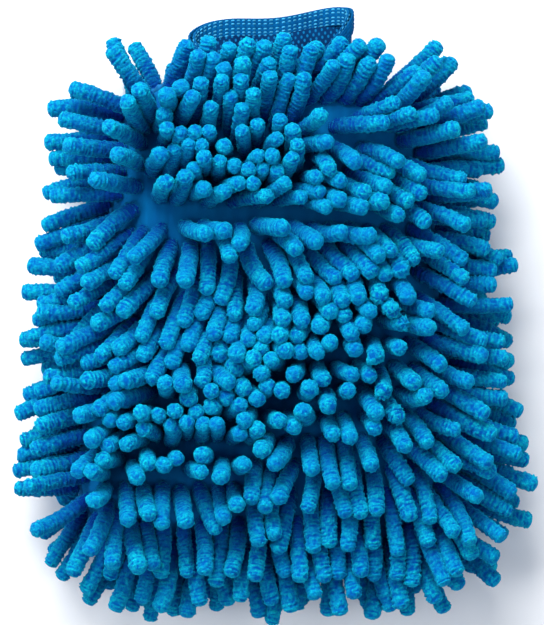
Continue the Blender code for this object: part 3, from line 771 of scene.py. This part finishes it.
def noodle_mesh(name, beads, length, radius, rings, sides, material):
    """All of one piece's noodles as closed tubes in one mesh."""
    count, used = len(beads), rings - 1
    line = centre_lines(beads, radius, rings)
    side, other = carried_frames(line)
    travelled = np.linspace(0, 1, rings)[None, :] * length[:, None]
    thick = noodle_thickness(length, radius, travelled)
    burst = np.clip(travelled / length[:, None] * 3.2 - 2.2, 0, 1) * frayed(beads[:, 0])[:, None]
    bump = terry(count, rings, sides) * (1 + FRAY_SWELL * burst[:, :, None])
    angle = np.linspace(0, 2 * math.pi, sides, endpoint=False)
    ring = side[:, :, None] * np.cos(angle)[:, None] + other[:, :, None] * np.sin(angle)[:, None]
    outward = (radius[:, None] * thick)[:, :, None] + bump * np.clip(thick * 2, 0, 1)[:, :, None]
    points = (line[:, :, None] + ring * outward[..., None])[:, :-1]
    poles = np.stack([line[:, 0], line[:, -1]], 1)
    verts = np.concatenate([points.reshape(count, -1, 3), poles], 1).reshape(-1, 3)
    share = np.broadcast_to(np.linspace(0, 1, rings)[None, :-1, None], (count, used, sides))
    height = np.concatenate([bump[:, :-1].reshape(count, -1), np.zeros((count, 2))], 1)
    tipward = np.concatenate([share.reshape(count, -1), np.tile([0.0, 1.0], (count, 1))], 1)
    # pile_height and tipward also drive the chenille's painted shade in the grooves and towards the root
    looks = {
        "pile_height": height.reshape(-1) / PILE_HEIGHT_UNIT,
        "tipward": tipward.reshape(-1),
        "shade": np.repeat(RNG.normal(size=count), used * sides + 2),
    }
    mesh = tube_mesh(name, verts, *noodle_faces(used, sides), count)
    for key, values in looks.items():
        attribute = mesh.attributes.new(key, "FLOAT", "POINT")
        attribute.data.foreach_set("value", values.astype(np.float32))
    mesh.update(calc_edges=True)
    mesh.validate()
    return placed(name, mesh, material)


def placed(name, mesh, material):
    """A smooth-shaded object of a mesh, in the scene."""
    mesh.polygons.foreach_set("use_smooth", np.ones(len(mesh.polygons), bool))
    mesh.update()
    mesh.materials.append(material)
    thing = bpy.data.objects.new(name, mesh)
    bpy.context.scene.collection.objects.link(thing)
    return thing


# ---- materials


class Shader:
    """A material's node tree, with short calls to add nodes to it and link them."""

    def __init__(self, name):
        self.material = bpy.data.materials.new(name)
        self.material.use_nodes = True
        self.tree = self.material.node_tree
        self.principled = self.tree.nodes["Principled BSDF"]

    def add(self, kind, **inputs):
        node = self.tree.nodes.new(kind)
        for key, value in inputs.items():
            node.inputs[key.replace("_", " ")].default_value = value
        return node

    def link(self, out, into):
        self.tree.links.new(out, into)

    def set(self, **inputs):
        for key, value in inputs.items():
            self.principled.inputs[key.replace("_", " ")].default_value = value

    def mix(self, share, low, high):
        """A colour between two, each a colour or another node's output."""
        node = self.tree.nodes.new("ShaderNodeMix")
        node.data_type = "RGBA"
        for index, value in ((0, share), (6, low), (7, high)):
            if isinstance(value, bpy.types.NodeSocket):
                self.link(value, node.inputs[index])
            else:
                node.inputs[index].default_value = value
        return node.outputs[2]

    def ramp(self, value, low, high):
        node = self.add("ShaderNodeMapRange")
        node.inputs["From Min"].default_value = low
        node.inputs["From Max"].default_value = high
        self.link(value, node.inputs["Value"])
        return node.outputs["Result"]

    def attribute(self, name):
        node = self.add("ShaderNodeAttribute")
        node.attribute_name = name
        return node.outputs["Fac"]

    def place(self):
        return self.add("ShaderNodeTexCoord").outputs["Object"]

    def noise(self, scale, detail=2.0, roughness=0.5):
        node = self.add("ShaderNodeTexNoise", Scale=scale, Detail=detail, Roughness=roughness)
        self.link(self.place(), node.inputs["Vector"])
        return node.outputs["Fac"]

    def bump(self, height, strength, distance):
        node = self.add("ShaderNodeBump", Strength=strength, Distance=distance)
        self.link(height, node.inputs["Height"])
        self.link(node.outputs["Normal"], self.principled.inputs["Normal"])


def chenille():
    """Microfibre terry: lighter at the fibre ends, with painted shade between the ridges and down towards
    the root.
    """
    shader = Shader("chenille")
    fibre = shader.ramp(shader.noise(1350, 2.0, 0.65), 0.40, 0.64)
    base = shader.mix(fibre, FIBRE_LOW, FIBRE_TIP)
    # Painted shade: the pile darkens towards the groove blue where its surface dips between ridges
    base = shader.mix(shader.ramp(shader.attribute("pile_height"), -1.2, 1.0), PAINTED_GROOVE_SHADE, base)
    base = shader.mix(shader.ramp(shader.attribute("shade"), -3.0, 7.0), base, OTHER_BLUE)
    # Painted shade: each noodle darkens from near its tip down to the root blue at its foot
    base = shader.mix(shader.ramp(shader.attribute("tipward"), 0.92, 0.15), base, PAINTED_ROOT_SHADE)
    shader.link(base, shader.principled.inputs["Base Color"])
    shader.set(Roughness=0.95, Sheen_Weight=0.70, Sheen_Roughness=0.30, Specular_IOR_Level=0.06)
    shader.set(Sheen_Tint=PILE_SHEEN)
    shader.bump(shader.noise(900, 3.0, 0.7), 1.0, 0.0012)
    return shader.material


def knit(name, low, high, pitch, depth):
    """A weft knit: small rounded stitches in columns and rows, over a slow change of tone."""
    shader = Shader(name)
    columns = shader.add("ShaderNodeTexWave", Scale=1.0 / pitch / 20, Distortion=1.5, Detail=2.0)
    columns.inputs["Detail Scale"].default_value = 400.0
    shader.link(shader.place(), columns.inputs["Vector"])
    cloudy = shader.ramp(shader.noise(55, 3.0), 0.3, 0.7)
    tone = shader.mix(cloudy, low, high)
    tone = shader.mix(shader.ramp(columns.outputs["Fac"], -1.0, 2.2), tone, high)
    shader.link(tone, shader.principled.inputs["Base Color"])
    shader.set(Roughness=0.9, Sheen_Weight=0.20, Sheen_Roughness=0.5, Specular_IOR_Level=0.05)
    shader.set(Sheen_Tint=KNIT_SHEEN)
    stitches = shader.add("ShaderNodeMath")
    stitches.operation = "ADD"
    shader.link(columns.outputs["Fac"], stitches.inputs[0])
    shader.link(shader.noise(2400, 3.0, 0.6), stitches.inputs[1])
    shader.bump(stitches.outputs["Value"], 0.5, depth)
    return shader.material


def dotted_lining(name):
    """A smooth navy lining with small pale dots in a lattice."""
    shader = Shader(name)
    turn = shader.add("ShaderNodeMapping")
    turn.inputs["Rotation"].default_value = (0.0, 0.0, math.radians(38))
    turn.inputs["Scale"].default_value = (560.0, 400.0, 0.0)
    shader.link(shader.place(), turn.inputs["Vector"])
    cells = shader.add("ShaderNodeTexVoronoi", Scale=1.0, Randomness=0.12)
    shader.link(turn.outputs["Vector"], cells.inputs["Vector"])
    dots = shader.ramp(cells.outputs["Distance"], 0.32, 0.20)
    cloudy = shader.ramp(shader.noise(120, 2.0), 0.3, 0.7)
    navy = shader.mix(cloudy, NAVY_DARK, NAVY_LIGHT)
    shader.link(shader.mix(dots, navy, DOT_BLUE), shader.principled.inputs["Base Color"])
    shader.set(Roughness=0.8, Specular_IOR_Level=0.06)
    shader.bump(shader.noise(2600, 2.0), 0.3, 0.0003)
    return shader.material


def thread(name, colour):
    """A twisted thread: a fine slanted wave along it."""
    shader = Shader(name)
    twist = shader.add("ShaderNodeTexWave", Scale=90.0, Distortion=0.6)
    shader.link(shader.place(), twist.inputs["Vector"])
    dark = tuple(0.6 * c for c in colour[:3]) + (1,)
    tone = shader.mix(shader.ramp(twist.outputs["Fac"], 0.0, 1.0), dark, colour)
    shader.link(tone, shader.principled.inputs["Base Color"])
    shader.set(Roughness=0.7, Specular_IOR_Level=0.12)
    shader.bump(twist.outputs["Fac"], 0.5, 0.0002)
    return shader.material


# ---- studio


def studio():
    corners = [(x * FLOOR_HALF, y * FLOOR_HALF, 0) for x, y in ((-1, -1), (1, -1), (1, 1), (-1, 1))]
    paint = Shader("floor_paint")
    paint.set(Base_Color=FLOOR_WHITE, Roughness=0.9)
    floor = new_piece("floor", corners, [(0, 1, 2, 3)], paint.material)
    world = bpy.data.worlds.new("studio")
    bpy.context.scene.world = world
    world.use_nodes = True
    world.node_tree.nodes["Background"].inputs["Color"].default_value = SKY
    world.node_tree.nodes["Background"].inputs["Strength"].default_value = SKY_STRENGTH
    for name, (place, power) in LAMPS.items():
        add_lamp(name, place, power)
    bpy.context.scene.view_settings.view_transform = "Standard"


def add_lamp(name, place, power):
    data = bpy.data.lights.new(name, "AREA")
    data.size = LAMP_SIZE
    data.energy = power
    lamp = bpy.data.objects.new(name, data)
    lamp.location = place
    lamp.rotation_euler = (Vector(LAMPS_AIM) - Vector(place)).to_track_quat("-Z", "Y").to_euler()
    bpy.context.scene.collection.objects.link(lamp)


def camera():
    """The photograph's view, straight down, with a lens that frames VIEW_HEIGHT at FOCUS_Z."""
    data = bpy.data.cameras.new("camera")
    data.sensor_width = SENSOR_WIDTH
    data.lens = SENSOR_WIDTH * (EYE[2] - FOCUS_Z) / VIEW_HEIGHT
    data.clip_end = 10.0
    eye = bpy.data.objects.new("camera", data)
    eye.location = EYE
    bpy.context.scene.collection.objects.link(eye)
    bpy.context.scene.camera = eye


# ---- fabrics and cuff


def new_piece(name, verts, faces, material):
    mesh = bpy.data.meshes.new(name)
    mesh.from_pydata(np.asarray(verts).tolist(), [], faces)
    return placed(name, mesh, material)


def panel(name, surface, side, offset, stands_past, thickness, material):
    """One fabric panel as a bent grid with its own thickness. offset moves it into the bag."""
    u, v = np.meshgrid(np.linspace(-1, 1, PANEL_ACROSS + 1), np.linspace(0, 1, PANEL_ALONG + 1))
    share = np.sin(u * math.pi / 2)
    first = BAG_END + offset
    last = mouth_edge(side * np.arccos(np.clip(share, -1.0, 1.0))) + stands_past
    y = first + (last - first) * (0.5 - 0.5 * np.cos(math.pi * v))
    x = share * np.maximum(half_width(y) - offset, 0.002)
    z = surface(x, y) - side * offset * (1 - 0.9 * np.abs(share) ** 6)
    verts = np.stack([x, y, z], -1).reshape(-1, 3)
    row, column = np.meshgrid(np.arange(PANEL_ALONG), np.arange(PANEL_ACROSS), indexing="ij")
    a = row * (PANEL_ACROSS + 1) + column
    quads = np.stack([a, a + 1, a + PANEL_ACROSS + 2, a + PANEL_ACROSS + 1], -1).reshape(-1, 4)
    piece = new_piece(name, verts, quads[:, ::side].tolist(), material)
    shell = piece.modifiers.new("thickness", "SOLIDIFY")
    shell.thickness = thickness
    shell.offset = -1.0
    return piece


def swept(name, path, frames, section, material):
    """A closed section carried along a closed path. frames holds its two directions at each point."""
    count, sides = path.shape[0], section.shape[-2]
    first, second = frames
    points = path[:, None] + first[:, None] * section[..., :1] + second[:, None] * section[..., 1:]
    i, j = np.meshgrid(np.arange(count), np.arange(sides), indexing="ij")
    i2, j2 = (i + 1) % count, (j + 1) % sides
    quads = np.stack([i * sides + j, i2 * sides + j, i2 * sides + j2, i * sides + j2], -1).reshape(-1, 4)
    return new_piece(name, points.reshape(-1, 3), quads.tolist(), material)


def round_section(radius):
    """A cord's round section, for one radius or for one at each point of its path."""
    turn = np.linspace(0, 2 * math.pi, CORD_SIDES, endpoint=False)
    return np.stack([np.cos(turn), np.sin(turn)], -1)[None] * np.reshape(radius, (-1, 1, 1))


def swelled(radius, phase):
    """A cord's radius at each point, fuller at each stitch than between stitches."""
    return radius * (0.8 + 0.2 * np.cos(phase))


def cuff_ring(count, along, inset=0.0):
    """A ring round the cuff at a height along it, and its directions outwards and along the cuff."""
    angle = np.linspace(0, 2 * math.pi, count, endpoint=False)
    cos, sin = np.cos(angle), np.sin(angle)
    x = (CUFF_HALF_WIDTH - inset) * cos
    y = mouth_edge(angle) + CUFF_START + CUFF_HEIGHT * along
    z = CUFF_CENTRE_Z + (CUFF_HALF_HEIGHT - inset) * sin + CUFF_WAVE * np.sin(3 * angle)
    out = np.stack([cos / CUFF_HALF_WIDTH, np.zeros(count), sin / CUFF_HALF_HEIGHT], 1)
    out /= np.linalg.norm(out, axis=1, keepdims=True)
    up = np.tile([0.0, 1.0, 0.0], (count, 1))
    return angle, np.stack([x, y, z], 1), (out, up)


def even_phase(path):
    """How far round a closed path each point is, from 0 to 2 pi, by length."""
    steps = np.linalg.norm(np.roll(path, -1, axis=0) - path, axis=1)
    return 2 * math.pi * np.concatenate([[0], np.cumsum(steps)[:-1]]) / steps.sum()


def stitches(phase):
    """The gathers' and shirring stitches' shared wave round the cuff, which drifts a little."""
    return np.cos(STITCHES_ROUND * phase + STITCH_DRIFT * np.sin(7 * phase))


def ply(name, inset, material):
    """One ply of the cuff: five grooves where the elastics run, and small gathers all round."""
    count, steps = STITCHES_ROUND * 7, 26
    _, path, frames = cuff_ring(count, 0.5, inset)
    level = np.linspace(-0.5, 0.5, steps)
    groove = sum(np.exp(-(((level + 0.5 - place) / GROOVE_WIDTH) ** 2)) for place in ELASTIC_PLACES)
    gather = 0.5 + 0.5 * stitches(even_phase(path))
    puff = GATHER_HEIGHT * gather[:, None] * (1 - 0.8 * groove[None, :]) - GROOVE_DEPTH * groove[None, :]
    rim = np.sqrt(np.clip(1 - (np.abs(level) / 0.5) ** 10, 0.0, 1.0))
    half = PLY_THICKNESS / 2 * np.maximum(rim, 0.25)
    height = np.broadcast_to(level * CUFF_HEIGHT, puff.shape)
    outer, inner = np.stack([half + puff, height], -1), np.stack([-half - puff, height], -1)
    return swept(name, path, frames, np.concatenate([outer, inner[:, ::-1]], 1), material)


def elastic(name, place, material):
    """One shirring thread: it shows on the inside as a row of dashes and dips into the ply between."""
    count = STITCHES_ROUND * 10
    _, path, (out, up) = cuff_ring(count, place, PLY_SPACING)
    wave = np.tanh(3.0 * stitches(even_phase(path)) + 0.4)
    path = path - out * (0.00008 + ELASTIC_DIP * wave)[:, None]
    section = np.broadcast_to(round_section(ELASTIC_RADIUS), (count, CORD_SIDES, 2))
    return swept(name, path, (out, up), section, material)


def cuff_seam(material):
    """The ring of thread that joins the cuff to the neck."""
    _, path, frames = cuff_ring(400, -0.07, 0.0008)
    radius = swelled(CUFF_SEAM_RADIUS, CUFF_SEAM_STITCHES * even_phase(path))
    return swept("sewn_cuff_seam", path, frames, round_section(radius), material)


def capped_cord(name, path, radius, stitch_count, material):
    """An open run of seam thread with closed ends."""
    along = np.gradient(path, axis=0)
    along /= np.linalg.norm(along, axis=1, keepdims=True)
    side = np.cross(along, [0.0, 0.0, 1.0])
    side = np.where(np.linalg.norm(side, axis=1, keepdims=True) < 0.1, [[1.0, 0.0, 0.0]], side)
    side /= np.linalg.norm(side, axis=1, keepdims=True)
    other = np.cross(along, side)
    section = round_section(swelled(radius, 2 * math.pi * stitch_count * np.linspace(0, 1, len(path))))
    points = path[:, None] + side[:, None] * section[..., :1] + other[:, None] * section[..., 1:]
    i, j = np.meshgrid(np.arange(len(path) - 1), np.arange(CORD_SIDES), indexing="ij")
    here, there, after = i * CORD_SIDES, (i + 1) * CORD_SIDES, (j + 1) % CORD_SIDES
    quads = np.stack([here + j, there + j, there + after, here + after], -1).reshape(-1, 4)
    first, last = range(CORD_SIDES), range(len(path) * CORD_SIDES - 1, (len(path) - 1) * CORD_SIDES - 1, -1)
    return new_piece(name, points.reshape(-1, 3), quads.tolist() + [tuple(first), tuple(last)], material)


def closing_seam(material):
    """The short run of thread across the cuff's outside, where the strip's ends are joined."""
    path = []
    for along in np.linspace(0.02, 0.98, 40):
        angle, ring, (out, _) = cuff_ring(360, along)
        nearest = int(np.argmin(np.abs(angle - CLOSING_SEAM_ANGLE)))
        path.append(ring[nearest] + out[nearest] * (PLY_THICKNESS / 2 + 0.0004))
    size = (CLOSING_SEAM_RADIUS, CLOSING_SEAM_STITCHES)
    return capped_cord("sewn_closing_seam", np.array(path), *size, material)


def perimeter_seam(material):
    """The bead of thread that joins the two base fabrics and fills the gap between them."""
    _, travelled = seam_line()
    place, outward = along_seam(np.linspace(MM, travelled[-1] - MM, 700))
    place = place + outward * 0.0005
    path = np.column_stack([place, np.full(len(place), SEAM_Z)])
    return capped_cord("sewn_perimeter_seam", path, PERIMETER_SEAM_RADIUS, PERIMETER_STITCHES, material)


def finish_piece(piece, node):
    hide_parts(node)
    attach(piece, "root")


def make_pile():
    pile = Pile()
    plant_front(pile)
    plant_edges(pile)
    plant_back(pile)
    beads = settle(pile)
    _, _, length, radius, _, owners = pile.arrays()
    fabric = chenille()
    pieces = {}
    for node in sorted(set(owners.tolist())):
        mine = owners == node
        rings, sides = (BACK_RINGS, BACK_SIDES) if node.startswith("back_noodle") else (RINGS, SIDES)
        piece = noodle_mesh("pile_" + node, beads[mine], length[mine], radius[mine], rings, sides, fabric)
        finish_piece(piece, node)
        pieces[node] = piece
    return pieces


def make_fabrics():
    base = knit("base_knit", BASE_DARK, BASE_LIGHT, 0.0011, 0.0012)
    lining = dotted_lining("lining")
    for side, name, surface in ((1, "front", front_z), (-1, "back", back_z)):
        cloth = panel(f"cloth_{name}_base", surface, side, 0.0, 0.0, FABRIC_THICKNESS, base)
        finish_piece(cloth, f"{name}_base_fabric")
        fit = (LINING_INSET, LINING_STANDS_PAST, LINING_THICKNESS)
        inner = panel(f"cloth_{name}_lining", surface, side, *fit, lining)
        finish_piece(inner, f"{name}_lining")


def make_cuff():
    rib = knit("cuff_knit", CUFF_DARK, CUFF_LIGHT, 0.0008, 0.0003)
    pale = thread("elastic", ELASTIC_BLUE)
    blue = thread("thread", THREAD_BLUE)
    for name, inset in (("cuff_outer_ply", 0.0), ("cuff_inner_ply", PLY_SPACING)):
        piece = ply("cloth_" + name, inset, rib)
        finish_piece(piece, name)
    for number, place in enumerate(ELASTIC_PLACES, 1):
        finish_piece(elastic(f"shirring_{number}", place, pale), f"cuff_elastic_{number}")
    finish_piece(cuff_seam(blue), "cuff_seam")
    finish_piece(closing_seam(blue), "cuff_closing_seam")
    finish_piece(perimeter_seam(blue), "perimeter_seam")


def build():
    studio()
    camera()
    pile = make_pile()
    make_fabrics()
    make_cuff()


build()
